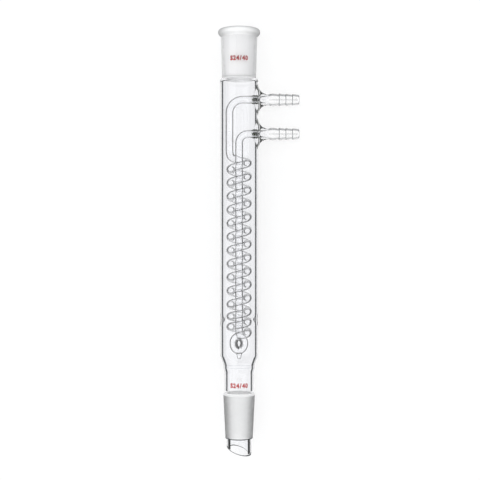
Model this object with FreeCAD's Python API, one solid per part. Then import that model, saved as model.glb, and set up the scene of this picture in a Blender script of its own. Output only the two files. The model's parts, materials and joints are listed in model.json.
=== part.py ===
import FreeCAD, Part
import math
import os
from FreeCAD import Placement, Rotation, Vector

# A coil reflux condenser of lamp-worked glass. It is built about its own axis, with the lowest point of the
# drip tip at height 0, the socket on top and the two hose connectors towards +X. The last lines lay it down
# on a flat surface, where it comes to rest on its rim, on the foot of its jacket and on one hose connector.
# All sizes are in millimetres.

# Ground joints, with the same wide end and the same taper above and below
joint_d = 24.0
joint_taper = 0.1

# Cone joint: drip tip, ground cone and clear stem
cone_length = 33.0
tip_d = 18.6
tip_wall = 2.0
tip_length = 13.0
tip_cut_rise = 5.9
cone_lip = 0.8
stem_d = 22.3
stem_wall = 1.8
stem_length = 17.2
weld_d = 23.8
weld_rise = 2.6
weld_band = 1.4
stem_flare_round = 3.0
weld_flare_round = 1.5

# Jacket tube
jacket_d = 28.8
jacket_wall = 1.8
jacket_length = 208.4
shoulder_rise = 6.8
shoulder_round = 8.0
crown_rise = 1.6
crown_round = 1.4

# Pressed dents that steady the foot of the coil
dent_angles = (0.0, 90.0, 180.0)
dent_height = 27.3
dent_ball_d = 5.4
dent_depth = 2.0

# Socket joint, ground inside from its mouth to just above its weld
socket_length = 37.0
socket_clear_foot = 0.8
socket_foot_d = 25.9
socket_neck_d = 27.5
rim_d = 31.8
rim_height = 5.6
rim_round = 2.2
rim_slope = 2.0
mouth_chamfer = 0.6

# Hose connectors, measured from the condenser's axis
connector_drop = 14.7
connector_spacing = 25.9
connector_reach = 45.4
connector_neck_d = 8.2
connector_bore_d = 6.2
funnel_length = 2.6
flare_wall = 1.5
flare_round = 7.7
seal_reach = 1.4
ridge_start = 25.2
ridge_approach = 3.0
ridge_count = 4
first_ridge_d = 9.8
last_ridge_d = 8.6
ridge_step = 0.6
nose_round = 0.6

# Cooling coil, one water tube from connector to connector
tube_d = 6.0
tube_bore_d = 4.8
coil_d = 19.2
coil_pitch = 10.2
coil_turns = 11
foot_pitch = 7.9
foot_turns = 2
coil_drop = 62.6
feed_offset = 7.3
feed_elbow = 10.0
feed_lead_in = 7.0
feed_turn = 0.5
return_elbow = 6.8
loop_width = 7.6
loop_height = 10.0
loop_drop = 8.3
loop_front_gap = 0.4

# The long water tube is drawn in short straight steps with flat sides, which keeps it light
turn_steps = 16
bend_steps = 6
loop_steps = 22
tube_side_count = 12
bore_side_count = 8

# Drip nib under the coil
nib_d = 4.6
nib_length = 3.4
nib_tip_d = 2.6
nib_tip_round = 1.1

# How near two points have to be to count as one
same_point = 0.001

# Radii and heights that follow from the sizes above
joint_r = joint_d / 2
cone_small_r = joint_r - joint_taper * cone_length / 2
tip_r = tip_d / 2
stem_r = stem_d / 2
weld_r = weld_d / 2
jacket_r = jacket_d / 2
bore_r = jacket_r - jacket_wall
tube_r = tube_d / 2
coil_r = (coil_d - tube_d) / 2
cone_foot_z = tip_length
cone_head_z = cone_foot_z + cone_length
stem_head_z = cone_head_z + stem_length
weld_z = stem_head_z + weld_rise + weld_band
shoulder_head_z = weld_z + weld_band + shoulder_rise
jacket_head_z = shoulder_head_z + jacket_length
socket_foot_z = jacket_head_z + crown_rise
rim_head_z = socket_foot_z + socket_length
rim_foot_z = rim_head_z - rim_height
upper_z = jacket_head_z - connector_drop
lower_z = upper_z - connector_spacing
seal_x = bore_r + seal_reach
neck_r = connector_neck_d / 2
neck_end_x = ridge_start - ridge_approach
tube_bore_r = tube_bore_d / 2
hose_bore_r = connector_bore_d / 2
coil_head_z = jacket_head_z - coil_drop
coil_foot_z = coil_head_z - coil_pitch * coil_turns - foot_pitch * foot_turns


def rounded_outline(corners):
    """A closed wire in the XZ plane through (x, z, round) corners, with an arc of that radius at each."""
    points = [Vector(x, 0, z) for x, z, _ in corners]
    edges = []
    starts = []
    ends = []
    for i, (_, _, size) in enumerate(corners):
        here = points[i]
        back = (points[i - 1] - here).normalize()
        ahead = (points[(i + 1) % len(points)] - here).normalize()
        if size == 0:
            starts.append(here)
            ends.append(here)
            edges.append(None)
            continue
        half = back.getAngle(ahead) / 2
        reach = size / math.tan(half)
        middle = here + (back + ahead).normalize() * (size / math.sin(half) - size)
        starts.append(here + back * reach)
        ends.append(here + ahead * reach)
        edges.append(Part.Arc(starts[i], middle, ends[i]).toShape())
    outline = []
    for i, arc in enumerate(edges):
        if arc:
            outline.append(arc)
        after = starts[(i + 1) % len(points)]
        if not ends[i].isEqual(after, same_point):
            outline.append(Part.LineSegment(ends[i], after).toShape())
    return Part.Wire(outline)


def turned(corners):
    """The solid that an outline of (radius, height) sweeps about the Z axis, with its seam towards the viewer."""
    solid = Part.Face(rounded_outline(corners)).revolve(Vector(0, 0, 0), Vector(0, 0, 1), 360)
    solid.rotate(Vector(0, 0, 0), Vector(0, 0, 1), -90)
    return solid


def turned_sideways(corners, z):
    """The solid that an outline of (distance from the axis, radius) sweeps about a level line at height z."""
    raised = [(x, z + r, size) for x, r, size in corners]
    return Part.Face(rounded_outline(raised)).revolve(Vector(0, 0, z), Vector(1, 0, 0), 360)


def level_rod(radius, start_x, end_x, z):
    """A rod along a hose connector's line, between two distances from the condenser's axis."""
    return Part.makeCylinder(radius, end_x - start_x, Vector(start_x, 0, z), Vector(1, 0, 0))


def water_way(z):
    """The bore behind a hose connector: as wide as the water tube's, and a funnel out to the connector's."""
    funnel_x = neck_end_x - funnel_length
    funnel = Part.makeCone(tube_bore_r, hose_bore_r, funnel_length, Vector(funnel_x, 0, z), Vector(1, 0, 0))
    return level_rod(tube_bore_r, 0, funnel_x, z).fuse(funnel)


def make_cone_joint():
    """Drip tip, ground cone and clear stem, turned as one piece, and the tip cut at a slant from edge to edge."""
    below = -tip_cut_rise
    bore_foot_r = tip_r - tip_wall
    stem_bore_r = stem_r - stem_wall
    weld_bore_r = weld_r - stem_wall
    flare_foot_z = stem_head_z
    flare_head_z = stem_head_z + weld_rise
    joint = turned([
        (bore_foot_r, below, 0),
        (tip_r, below, 0),
        (tip_r, cone_foot_z, 0),
        (cone_small_r, cone_foot_z, 0),
        (joint_r, cone_head_z, 0),
        (stem_r, cone_head_z + cone_lip, 0),
        (stem_r, flare_foot_z, stem_flare_round),
        (weld_r, flare_head_z, weld_flare_round),
        (weld_r, weld_z, 0),
        (weld_bore_r, weld_z, 0),
        (weld_bore_r, flare_head_z, weld_flare_round),
        (stem_bore_r, flare_foot_z, stem_flare_round),
        (stem_bore_r, cone_head_z, 0),
        (bore_foot_r, cone_foot_z, 0),
    ])
    high_side = Vector(-tip_d, -tip_d, tip_cut_rise * 1.5)
    low_side = Vector(tip_d, -tip_d, -tip_cut_rise * 0.5)
    drop = Vector(0, 0, -2 * tip_cut_rise)
    slant = Part.makePolygon([high_side, low_side, low_side + drop, high_side + drop, high_side])
    return joint.cut(Part.Face(slant).extrude(Vector(0, 2 * tip_d, 0)))


def jacket_outline(inset):
    """Corners of the jacket's outer surface, or of its bore where inset is the wall, closed on the axis."""
    return [
        (0, weld_z, 0),
        (weld_r - inset, weld_z, 0),
        (weld_r - inset, weld_z + weld_band, 0),
        (jacket_r - inset, shoulder_head_z, shoulder_round),
        (jacket_r - inset, jacket_head_z, crown_round),
        (socket_foot_d / 2 - inset, socket_foot_z, 0),
        (0, socket_foot_z, 0),
    ]


def dent_balls(radius):
    """A ball for each dent. The outer wall takes the forming ball, and the bore one a wall thicker."""
    centre_r = jacket_r - dent_depth + dent_ball_d / 2
    balls = []
    for angle in dent_angles:
        turn = math.radians(angle)
        centre = Vector(centre_r * math.cos(turn), centre_r * math.sin(turn), shoulder_head_z + dent_height)
        balls.append(Part.makeSphere(radius, centre))
    return balls


def lies_on_seam(edge, barrel_r, side_r):
    """Whether an edge is part of the line where a level tube leaves the upright barrel."""
    for point in edge.discretize(5):
        from_line = min(math.hypot(point.y, point.z - z) for z in (upper_z, lower_z))
        if abs(math.hypot(point.x, point.y) - barrel_r) > same_point or abs(from_line - side_r) > same_point:
            return False
    return True


def with_flares(barrel, barrel_r, side_r, blend):
    """The barrel with two level tubes leaving it for the hose connectors, flared where they meet it."""
    tubes = [level_rod(side_r, 0, neck_end_x, z) for z in (upper_z, lower_z)]
    joined = barrel.fuse(tubes)
    return joined.makeFillet(blend, [e for e in joined.Edges if lies_on_seam(e, barrel_r, side_r)])


def make_jacket_tube():
    """Outer tube with its shoulder, its pressed dents and the flared necks that the water tube is sealed into."""
    outside = with_flares(turned(jacket_outline(0)), jacket_r, neck_r, flare_round)
    inside = with_flares(turned(jacket_outline(jacket_wall)), bore_r, neck_r - flare_wall, flare_round + flare_wall)
    inside = inside.cut([level_rod(tube_r, seal_x, connector_reach, z) for z in (upper_z, lower_z)])
    inside = inside.cut(dent_balls(dent_ball_d / 2 + jacket_wall))
    water_ways = [water_way(z) for z in (upper_z, lower_z)]
    return outside.cut(dent_balls(dent_ball_d / 2) + [inside] + water_ways)


def make_socket_joint():
    """Ground socket with its beaded rim."""
    ground_foot_z = socket_foot_z + socket_clear_foot
    ground_foot_r = joint_r - joint_taper * (rim_head_z - ground_foot_z) / 2
    return turned([
        (socket_foot_d / 2 - jacket_wall, socket_foot_z, 0),
        (socket_foot_d / 2, socket_foot_z, 0),
        (socket_neck_d / 2, rim_foot_z, 0),
        (rim_d / 2, rim_foot_z + rim_slope, rim_round),
        (rim_d / 2, rim_head_z, rim_round),
        (joint_r + mouth_chamfer, rim_head_z, 0),
        (joint_r, rim_head_z - mouth_chamfer, 0),
        (ground_foot_r, ground_foot_z, 0),
    ])


def ridge_corners():
    """Outline of the serrated end: each ridge stands a step proud and tapers to the next."""
    pitch = (connector_reach - ridge_start) / ridge_count
    corners = [(ridge_start, first_ridge_d / 2, 0)]
    for k in range(1, ridge_count):
        ridge_r = (first_ridge_d + (last_ridge_d - first_ridge_d) * k / (ridge_count - 1)) / 2
        x = ridge_start + pitch * k
        corners.append((x, ridge_r - ridge_step, 0))
        corners.append((x, ridge_r, 0))
    corners.append((connector_reach, last_ridge_d / 2 - ridge_step, nose_round))
    return corners


def make_hose_connector(z):
    """Serrated glass tube that a water hose is pushed onto."""
    foot = [(neck_end_x, hose_bore_r, 0), (neck_end_x, neck_r, 0)]
    return turned_sideways(foot + ridge_corners() + [(connector_reach, hose_bore_r, 0)], z)


def quarter_bend(start, middle, end):
    """Points along the quarter circle through three points, both ends left out."""
    arc = Part.Arc(start, middle, end).toShape()
    return arc.discretize(bend_steps + 1)[1:-1]


def elbow(corner_x, z, size):
    """The quarter bend in the XZ plane between a level run at height z and a vertical run at corner_x."""
    dip = size * (1 - math.sqrt(0.5))
    return quarter_bend(
        Vector(corner_x + size, 0, z),
        Vector(corner_x + dip, 0, z - dip),
        Vector(corner_x, 0, z - size),
    )


def coil_height(turn):
    """Height of the coil's centre line after a number of turns down from its highest right-hand end."""
    wide = min(turn, coil_turns)
    return coil_head_z - coil_pitch * wide - foot_pitch * (turn - wide)


def coil_point(turn, radius):
    """A point of the coil, which is a right-hand helix."""
    angle = -2 * math.pi * turn
    return Vector(radius * math.cos(angle), radius * math.sin(angle), coil_height(turn))


def lead_in_points():
    """The bend that turns the vertical feed into the first turn, a circular arc laid on the coil's cylinder."""
    slope = math.atan(coil_pitch / (2 * math.pi * coil_r))
    run = feed_lead_in * (1 - math.sin(slope))
    end_turn = run / (2 * math.pi * coil_r) - feed_turn
    top_z = coil_height(end_turn) + feed_lead_in * math.cos(slope)
    points = []
    for k in range(bend_steps + 1):
        lean = math.pi / 2 + (slope - math.pi / 2) * k / bend_steps
        along = feed_lead_in * (1 - math.sin(lean))
        angle = 2 * math.pi * feed_turn - along / coil_r
        radius = feed_offset + (coil_r - feed_offset) * along / run
        z = top_z - feed_lead_in * math.cos(lean)
        points.append(Vector(radius * math.cos(angle), radius * math.sin(angle), z))
    return points, end_turn


def loop_points():
    """The closing loop below the coil: across the front, down the left, round and up into the return tube."""
    w = loop_width / 2
    h = loop_height / 2
    front = 2 * tube_r + loop_front_gap
    middle_z = coil_foot_z - loop_drop
    foot = coil_point(coil_turns + foot_turns, coil_r)
    onward = Vector(0, -1, -foot_pitch / (2 * math.pi * coil_r))
    poles = [
        foot,
        foot + onward * tube_r,
        Vector(1.35 * w, -1.10 * front, middle_z + 1.42 * h),
        Vector(0.10 * w, -1.18 * front, middle_z + 1.28 * h),
        Vector(-1.02 * w, -1.06 * front, middle_z + 0.86 * h),
        Vector(-1.15 * w, -0.80 * front, middle_z - 0.28 * h),
        Vector(-0.60 * w, -0.56 * front, middle_z - 1.06 * h),
        Vector(0.50 * w, -0.34 * front, middle_z - 1.10 * h),
        Vector(1.15 * w, -0.16 * front, middle_z - 0.28 * h),
        Vector(0.98 * w, -0.02 * front, middle_z + 0.56 * h),
        Vector(0.16 * w, 0, middle_z + 1.02 * h),
        Vector(0, 0, middle_z + 1.62 * h),
        Vector(0, 0, middle_z + 2.20 * h),
    ]
    curve = Part.BSplineCurve()
    curve.buildFromPoles(poles, False, 3)
    return curve.toShape().discretize(loop_steps + 1)


def coil_route():
    """The water tube's centre line from the upper connector's seal to the lower one's."""
    route = [Vector(seal_x, 0, upper_z), Vector(feed_elbow - feed_offset, 0, upper_z)]
    route += elbow(-feed_offset, upper_z, feed_elbow)
    route.append(Vector(-feed_offset, 0, upper_z - feed_elbow))
    lead_in, first = lead_in_points()
    route += lead_in
    last = coil_turns + foot_turns
    steps = round((last - first) * turn_steps)
    route += [coil_point(first + (last - first) * k / steps, coil_r) for k in range(1, steps)]
    route += loop_points()
    route.append(Vector(0, 0, lower_z - return_elbow))
    route += reversed(elbow(0, lower_z, return_elbow))
    route += [Vector(return_elbow, 0, lower_z), Vector(seal_x, 0, lower_z)]
    return route


def mitred_rings(route, diameter, side_count):
    """Rings of corners round the route, each in the plane that halves the turn there, so every side is flat."""
    ring = []
    for k in range(side_count):
        turn = 2 * math.pi * k / side_count
        ring.append(route[0] + Vector(0, math.cos(turn), math.sin(turn)) * (diameter / 2))
    rings = [ring]
    for i in range(1, len(route)):
        heading = (route[i] - route[i - 1]).normalize()
        ahead = (route[i + 1] - route[i]).normalize() if i + 1 < len(route) else heading
        mitre = heading + ahead
        ring = [corner + heading * ((route[i] - corner).dot(mitre) / heading.dot(mitre)) for corner in ring]
        rings.append(ring)
    return rings


def side_faces(rings):
    """The flat sides between each ring and the next."""
    faces = []
    for near, far in zip(rings, rings[1:]):
        for k in range(len(near)):
            corners = [near[k - 1], near[k], far[k], far[k - 1], near[k - 1]]
            faces.append(Part.Face(Part.makePolygon(corners)))
    return faces


def ring_face(ring):
    """The flat face inside one ring."""
    return Part.Face(Part.makePolygon(ring + ring[:1]))


def solid_of(faces):
    """The solid that a closed set of faces bounds."""
    shell = Part.Shell(faces)
    shell.sewShape()
    solid = Part.Solid(shell)
    if solid.Volume < 0:
        solid.reverse()
    return solid


def make_cooling_coil(route):
    """The wound water tube: feed, helix, closing loop and straight return, one hollow piece."""
    outside = mitred_rings(route, tube_d, tube_side_count)
    inside = mitred_rings(route, tube_bore_d, bore_side_count)
    ends = [ring_face(outside[i]).cut(ring_face(inside[i])) for i in (0, -1)]
    return solid_of(side_faces(outside) + side_faces(inside) + ends[0].Faces + ends[1].Faces)


def make_drip_nib(route):
    """Solid glass point under the loop, where the condensate gathers and falls."""
    lowest = min(route, key=lambda point: point.z)
    top_z = lowest.z
    tip_z = lowest.z - tube_r - nib_length
    nib = turned([
        (0, tip_z, 0),
        (nib_tip_d / 2, tip_z, nib_tip_round),
        (nib_d / 2, lowest.z - tube_r, 0),
        (nib_d / 2, top_z, 0),
        (0, top_z, 0),
    ])
    nib.translate(Vector(lowest.x, lowest.y, 0))
    outside = mitred_rings(route, tube_d, tube_side_count)
    ends = [ring_face(outside[0]), ring_face(outside[-1])]
    return nib.cut(solid_of(side_faces(outside) + ends))


def round_run(rise, spread, size):
    """How far from its corner a round of that size meets the straight wall beyond a slope of that rise and spread."""
    return size * math.tan(math.atan2(spread, rise) / 2)


def resting_place():
    """The placement that lays the condenser down on its rim, its jacket's foot and its lower hose connector."""
    foot_z = shoulder_head_z + round_run(shoulder_rise, jacket_r - weld_r, shoulder_round)
    foot_r = jacket_r - shoulder_round
    rim_z = rim_foot_z + rim_slope + round_run(rim_slope, (rim_d - socket_neck_d) / 2, rim_round)
    rim_r = rim_d / 2 - rim_round
    span = math.hypot(rim_z - foot_z, rim_r - foot_r)
    tilt = math.atan2(rim_r - foot_r, rim_z - foot_z) - math.asin((shoulder_round - rim_round) / span)
    lift = foot_r * math.cos(tilt) - foot_z * math.sin(tilt) + shoulder_round

    fall = ridge_step / ((connector_reach - ridge_start) / ridge_count)
    nose_x = connector_reach - nose_round
    nose_r = last_ridge_d / 2 - ridge_step + nose_round * (fall - math.hypot(1, fall))
    drop = lift + lower_z * math.sin(tilt) - nose_round
    dip = math.asin(drop / math.hypot(nose_x, nose_r)) - math.atan2(nose_r, nose_x)
    roll = math.asin(math.sin(dip) / math.cos(tilt))

    turn = Rotation(Vector(1, 0, 0), math.degrees(tilt))
    turn = turn * Rotation(Vector(0, 1, 0), math.degrees(roll)) * Rotation(Vector(1, 0, 0), -90)
    return Placement(Vector(0, 0, lift), turn)


route = coil_route()
pieces = {
    "cone_joint": make_cone_joint(),
    "jacket_tube": make_jacket_tube(),
    "socket_joint": make_socket_joint(),
    "upper_hose_connector": make_hose_connector(upper_z),
    "lower_hose_connector": make_hose_connector(lower_z),
    "cooling_coil": make_cooling_coil(route),
    "drip_nib": make_drip_nib(route),
}

os.makedirs("parts", exist_ok=True)
place = resting_place()
for shape in pieces.values():
    shape.Placement = place.multiply(shape.Placement)
box = Part.makeCompound(list(pieces.values())).optimalBoundingBox(False)
centre = Vector(-box.Center.x, -box.Center.y, 0)
for name, shape in pieces.items():
    shape.translate(centre)
    shape.exportStep("parts/" + name + ".step")
    print(name, len(shape.Solids), shape.isValid(), round(shape.Volume, 1))
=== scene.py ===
"""Looks of a coil reflux condenser in clear and ground glass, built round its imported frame.

Shapes are worked out in the condenser's own frame, in millimetres: the axis is Z with the drip tip at 0, the
hose connectors point along +X and the viewer stands towards -Y. A Bench turns them into the row frame in
metres.
"""
import json
import logging
import math
from dataclasses import dataclass
from enum import Enum

import bmesh
import bpy
import mathutils
import numpy as np
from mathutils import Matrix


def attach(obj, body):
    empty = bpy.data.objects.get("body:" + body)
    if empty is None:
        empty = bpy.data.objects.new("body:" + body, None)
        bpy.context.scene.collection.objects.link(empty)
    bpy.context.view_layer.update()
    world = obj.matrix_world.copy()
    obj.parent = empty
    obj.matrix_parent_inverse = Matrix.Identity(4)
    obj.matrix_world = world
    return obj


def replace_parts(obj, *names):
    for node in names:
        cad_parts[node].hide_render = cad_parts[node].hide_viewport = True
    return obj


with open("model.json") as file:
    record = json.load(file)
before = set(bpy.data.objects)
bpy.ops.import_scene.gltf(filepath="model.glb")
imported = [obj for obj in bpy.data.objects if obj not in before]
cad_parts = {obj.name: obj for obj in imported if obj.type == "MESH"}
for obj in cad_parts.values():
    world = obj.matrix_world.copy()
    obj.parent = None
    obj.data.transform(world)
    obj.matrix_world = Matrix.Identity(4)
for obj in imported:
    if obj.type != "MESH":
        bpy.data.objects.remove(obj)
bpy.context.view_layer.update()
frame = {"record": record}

LOG = logging.getLogger("condenser")
MM = 0.001
PICTURE_SIDE = 480
WELD_DISTANCE = 1e-7
GLASS_IOR = 1.47
RING_COLUMNS = 144
COLLAR_COLUMNS = 120

Colour = tuple[float, float, float]
Stops = tuple[tuple[float, float], ...]
TUBE_TINT = (0.980, 0.981, 0.984)
# Colours of painted shade: the dark mixed into glass to stand in for light turned aside.
OLIVE_SHADE = (0.022, 0.030, 0.016)
BLACK_SHADE = (0.004, 0.005, 0.006)
# Stops of painted dark lines, by how aslant the glass is met: (place, share of the painted shade).
STEM_LINES = ((0.224, 0), (0.238, 1), (0.286, 1), (0.305, 0.25), (0.40, 0.05))
RING_LINES = ((0.03, 1), (0.06, 0.2), (0.25, 0), (0.36, 0.95), (1, 1))
INSIDE_LINES = ((0, 0.2), (0.12, 0.5), (0.25, 0.95), (1, 1))
TIP_EDGES = ((0.2, 0), (0.4, 0.7), (0.8, 0.8), (1, 0.4))
LIP_EDGES = ((0, 0.7), (1, 0.9))


@dataclass(frozen=True)
class GlassFinish:
    """How a stretch of glass looks.

    A bright room shows clear glass by the dark lines where the light is turned far aside. Here those lines
    are painted
    shade: turned is the share of a dark matt shader mixed in for a ray inside the glass, by how aslant it
    meets the surface, and edge is the same from outside. end_light is painted light that stands for light at
    both ends of the
    condenser: the share of the painted shade that it takes away where the surface faces along the axis.
    """

    name: str
    tint: Colour = (0.925, 0.928, 0.940)
    # dark is the colour of the painted shade lines.
    dark: Colour = (0.018, 0.024, 0.030)
    turned: Stops = ()
    edge: Stops = ()
    end_light: float = 0.0
    wave: float = 0.004
    roughness: float = 0.0
    glow: float = 0.93


@dataclass(frozen=True)
class GroundFinish:
    """How ground glass looks: rough and see-through under a fine pale bloom, with painted shade that greys
    the bloom where it is seen aslant.
    """

    name: str
    # The bloom's colour by how aslant it is seen: painted shade, greyer where it is seen aslant.
    shade_greys: Stops
    bloom_share: float = 0.8
    grain_depth: float = 0.18
    grain_scale: float = 1 / 0.00022
    tint: Colour = (0.93, 0.94, 0.94)
    roughness: float = 0.42
    spread: float = 0.12
    glow: float = 0.75


@dataclass(frozen=True)
class InkFinish:
    """Printed red marking ink, fired into the glass."""

    name: str
    colour: Colour = (0.38, 0.0, 0.0)
    worn: Colour = (0.44, 0.005, 0.005)
    roughness: float = 0.45
    grain_scale: float = 2500.0


class Skin(Enum):
    """The finish of a stretch of surface."""

    # Skins with turned or edge stops carry painted shade lines; ground skins carry painted grey by angle.
    CLEAR = GlassFinish("clear_glass", edge=((0.80, 0), (0.95, 0.2), (1, 0.3)))
    PLAIN = GlassFinish("plain_glass", tint=(0.995, 0.995, 0.995))
    # The weld band's darker tint paints a grey shade line across the bore, with painted shade lines on top.
    WELD = GlassFinish("weld_glass", tint=(0.76, 0.77, 0.80), turned=STEM_LINES)
    BORE = GlassFinish("bore_glass", turned=((0.15, 0), (0.213, 0.06), (0.236, 0.14), (0.250, 1), (0.285, 1),
                                             (0.302, 0.15), (0.36, 0.06), (0.45, 0)))
    STEM_BORE = GlassFinish("stem_bore_glass", turned=STEM_LINES)
    TIP_BORE = GlassFinish("tip_bore_glass", dark=BLACK_SHADE,
                           turned=((0.20, 0), (0.22, 1), (0.33, 1), (0.38, 0.4), (0.45, 0.15)))
    TIP_EDGE = GlassFinish("tip_edge_glass", edge=TIP_EDGES, turned=TIP_EDGES)
    LIP = GlassFinish("lip_glass", edge=LIP_EDGES, turned=LIP_EDGES)
    TUBE = GlassFinish("tube_glass", TUBE_TINT, edge=((0.80, 0), (0.92, 0.5), (1, 0.9)), end_light=0.55,
                       wave=0.01)
    TUBE_BORE = GlassFinish("tube_bore_glass", TUBE_TINT, BLACK_SHADE, end_light=0.55,
                            turned=((0.205, 0), (0.221, 1), (0.385, 1), (0.40, 0.15), (0.474, 0.05)))
    # Painted shade lines at the connector's ridges and outline, and a painted grey streak down the middle of
    # its bore.
    HOSE = GlassFinish("hose_glass", TUBE_TINT, edge=((0.20, 0), (0.32, 1)), end_light=0.88)
    HOSE_BORE = GlassFinish("hose_bore_glass", TUBE_TINT, end_light=0.88,
                            turned=((0, 0.3), (0.012, 0.12), (0.03, 0), (0.33, 0), (0.40, 0.6), (0.50, 0.6),
                                    (0.62, 0.2)))
    # Olive painted shade at the flared necks' ring seals.
    SEAL = GlassFinish("seal_glass", dark=OLIVE_SHADE,
                       turned=((0.20, 0), (0.23, 1), (0.33, 1), (0.38, 0.3), (0.8, 0.2), (1, 0.6)))
    SEAL_RING = GlassFinish("seal_ring_glass", dark=OLIVE_SHADE, edge=RING_LINES, turned=RING_LINES)
    CROWN_BORE = GlassFinish("crown_bore_glass",
                             turned=((0.20, 0), (0.235, 0.95), (0.42, 0.95), (0.5, 0.2), (0.6, 0)))
    # Near-black painted shade on the bore where the dents press it in.
    DENT = GlassFinish("dent_glass", dark=BLACK_SHADE,
                       turned=((0.08, 0), (0.16, 0.95), (0.60, 0.95), (1, 0.7)))
    # Near-black painted shade on the inside of the closing loop and at the turns' ends.
    LOOP_INSIDE = GlassFinish("loop_inside_glass", TUBE_TINT, BLACK_SHADE, INSIDE_LINES, INSIDE_LINES,
                              end_light=0.9)
    NIB = GlassFinish("nib_glass", TUBE_TINT, edge=((0.25, 0), (0.42, 0.8), (0.8, 0.9), (1, 0.4)))
    GROUND = GroundFinish("ground_cone", ((0, 0.79), (0.08, 0.72), (0.152, 0.665), (0.249, 0.52),
                                          (0.387, 0.35), (0.61, 0.23), (1, 0.21)))
    GROUND_BORE = GroundFinish("ground_socket", bloom_share=0.95,
                               shade_greys=((0, 0.96), (0.12, 0.92), (0.2, 0.85), (0.28, 0.78), (0.45, 0.72)))
    LEDGE = GroundFinish("ground_ledge", ((0, 0.96), (1, 0.9)))
    # Painted grey shade by angle on the socket's rim.
    RIM = GroundFinish("ground_rim", grain_depth=0.05,
                       shade_greys=((0, 0.97), (0.12, 0.93), (0.3, 0.74), (0.5, 0.52), (0.8, 0.36), (1, 0.32)))
    INK = InkFinish("red_ink")


class Slot(Enum):
    """The record's material slots."""

    CLEAR = "clear_glass"
    GROUND = "ground_glass"


@dataclass
class Sheet:
    """A stretch of surface: points in mm, the corners of its faces, and its finish."""

    points: np.ndarray
    faces: np.ndarray
    skin: Skin


def unit(vectors: np.ndarray) -> np.ndarray:
    """The vectors, each at length 1."""
    return vectors / np.linalg.norm(vectors, axis=-1, keepdims=True)


def gridded(rows: np.ndarray, skin: Skin) -> Sheet:
    """A sheet through rows of points that each close on themselves.

    Args:
        rows: array of shape (rows, columns, 3).
        skin: its finish.

    Returns:
        The sheet, whose faces look along (next column) x (next row).
    """
    count, columns = rows.shape[:2]
    start = np.arange(count - 1)[:, None] * columns
    column = np.arange(columns)
    here, after = start + column, start + (column + 1) % columns
    faces = np.stack([here, after, after + columns, here + columns], axis=-1)
    return Sheet(rows.reshape(-1, 3), faces.reshape(-1, 4), skin)


def arc_between(start: np.ndarray, end: np.ndarray, turn: np.ndarray, share: np.ndarray) -> np.ndarray:
    """Spokes from start to end about a centre: (sin((1 - s) turn) start + sin(s turn) end) / sin(turn)."""
    return (np.sin((1 - share) * turn) * start + np.sin(share * turn) * end) / np.sin(turn)


def rounded(corners: list[tuple[float, ...]], arc_step: float = 0.16) -> np.ndarray:
    """An open outline through corners, each rounded by the arc of its own radius.

    An arc touches both its sides at radius / tan(half the angle between them) from the corner, and its points
    turn about the centre that lies radius / sin(half the angle) along the bisector.

    Args:
        corners: (radius or distance, height, round) of each corner in mm, without a round at both ends.
        arc_step: angle between two points of an arc, in radians, at most.

    Returns:
        Array of shape (points, 2).
    """
    points = np.array([corner[:2] for corner in corners], float)
    outline = [points[:1]]
    for before, here, after, corner in zip(points[:-2], points[1:-1], points[2:], corners[1:-1]):
        back, ahead = unit(before - here), unit(after - here)
        half = math.acos(np.clip(back @ ahead, -1, 1)) / 2
        if corner[2] == 0 or half > math.pi / 2 - 0.001:
            outline.append(here[None])
            continue
        centre = here + unit(back + ahead) * corner[2] / math.sin(half)
        touch = corner[2] / math.tan(half)
        turn = math.pi - 2 * half
        share = np.linspace(0, 1, max(3, math.ceil(turn / arc_step) + 1))[:, None]
        start, end = here + back * touch - centre, here + ahead * touch - centre
        outline.append(centre + arc_between(start, end, turn, share))
    return np.concatenate([*outline, points[-1:]])


def turned(outline: np.ndarray, skin: Skin, columns: int = RING_COLUMNS) -> Sheet:
    """The surface that an outline of (radius, height) sweeps about the condenser's axis.

    A point of the outline at angle a lies at (r cos a, r sin a, z). The first column is on the left, at -X.

    Args:
        outline: array of shape (rows, 2).
        skin: its finish.
        columns: points round the axis.

    Returns:
        The sheet, which looks outwards where the outline climbs.
    """
    angle = 2 * math.pi * np.arange(columns) / columns - math.pi
    radius, height = outline[:, :1], outline[:, 1:]
    rows = np.stack([radius * np.cos(angle), radius * np.sin(angle), height + 0 * angle], axis=-1)
    return gridded(rows, skin)


def tube_along(path: np.ndarray, radius: np.ndarray, columns: int, skin: Skin) -> Sheet:
    """A round tube's outside along a path.

    Each ring stands square to the path. Its two directions are a fixed pair turned by the smallest turn that
    takes a fixed heading, which the path never opposes, to the path's own. The rings are then turned back by
    the summed angle between neighbours, so that the tube doesn't twist.

    Args:
        path: array of shape (n, 3).
        radius: the tube's radius at each point of the path.
        columns: points in a ring.
        skin: its finish.

    Returns:
        The sheet, which looks outwards.
    """
    heading = unit(np.gradient(path, axis=0))
    fixed, first = np.array([0.0, -0.6, -0.8]), np.array([1.0, 0.0, 0.0])
    share = 1 / (1 + heading @ fixed)[:, None] * (fixed + heading)
    across, along = [axis - (heading @ axis)[:, None] * share for axis in (first, np.cross(fixed, first))]
    carried = across[:-1] - heading[1:] * np.sum(across[:-1] * heading[1:], axis=1, keepdims=True)
    slip = np.arctan2(np.sum(carried * along[1:], axis=1), np.sum(carried * across[1:], axis=1))
    angle = 2 * math.pi * np.arange(columns) / columns + np.concatenate([[0.0], np.cumsum(slip)])[:, None]
    ring = across[:, None] * np.cos(angle)[..., None] + along[:, None] * np.sin(angle)[..., None]
    return gridded(path[:, None] + ring * radius[:, None, None], skin)


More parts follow.
